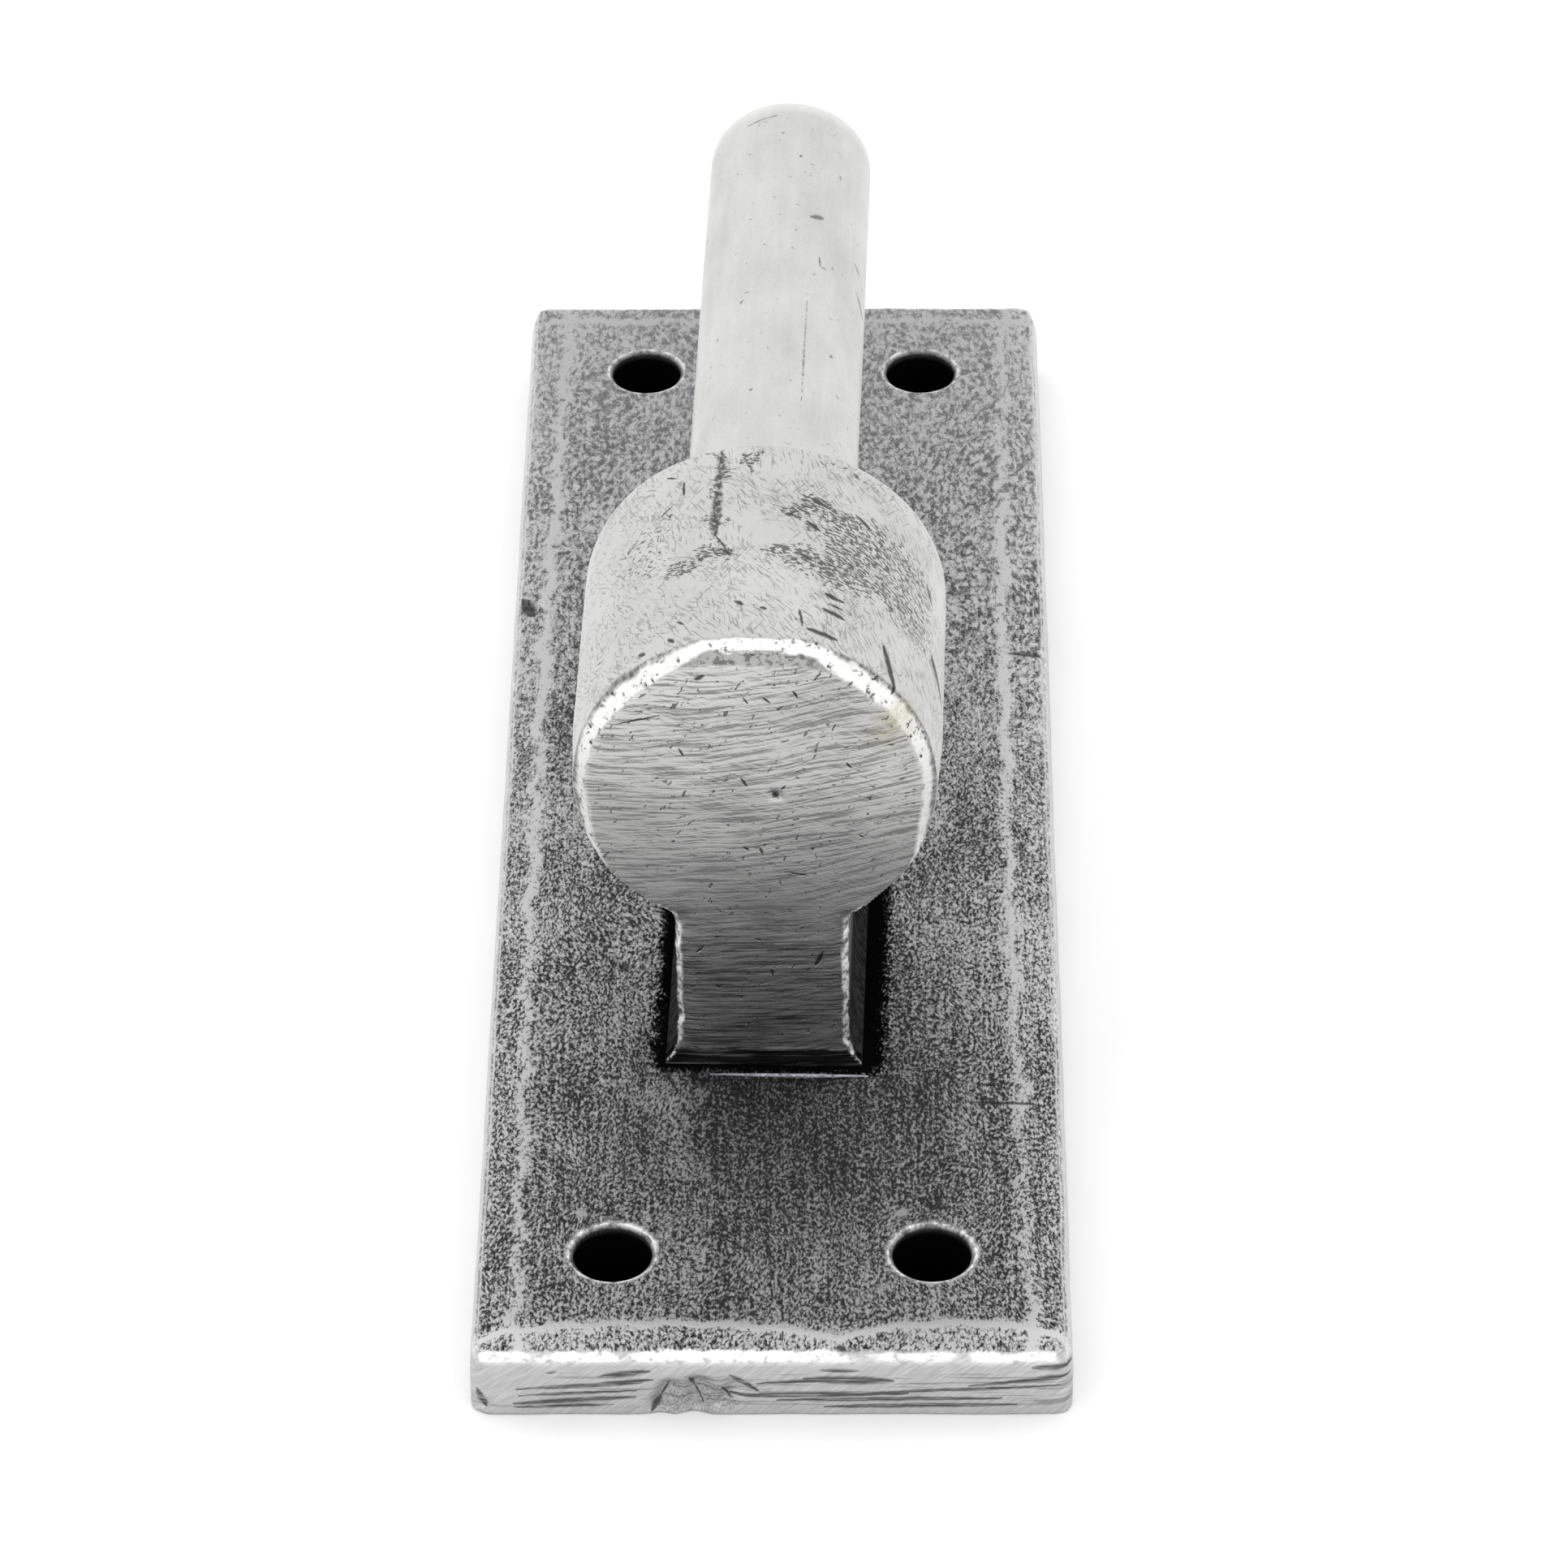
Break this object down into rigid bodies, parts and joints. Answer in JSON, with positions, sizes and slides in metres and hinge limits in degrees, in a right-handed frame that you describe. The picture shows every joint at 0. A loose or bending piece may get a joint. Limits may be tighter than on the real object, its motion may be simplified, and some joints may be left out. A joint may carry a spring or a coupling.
{
  "type": "hinge pintle on plate",
  "caption": "Forged steel hinge pintle: a round boss on a neck stands on a flat screw plate and holds a round pin that a strap hinge's eye drops over.",
  "frame": {"origin": "centre of the plate's flat back, the face that lies against the post or frame", "axes": "+Z out of the plate's face, +Y along the plate towards the pin's free end, X across the plate"},
  "size_m": [0.04, 0.12, 0.0427],
  "materials": {
    "plate_steel": "hammered and pitted dark steel, rubbed bright on its high spots and waxed",
    "hook_steel": "ground steel with scratches and dark pits, edges worn bright",
    "pin_steel": "smooth satin bright steel bar"
  },
  "bodies": {
    "root": {"back_plate": "plate_steel", "hook_body": "hook_steel", "pin": "pin_steel"}
  },
  "joints": []
}
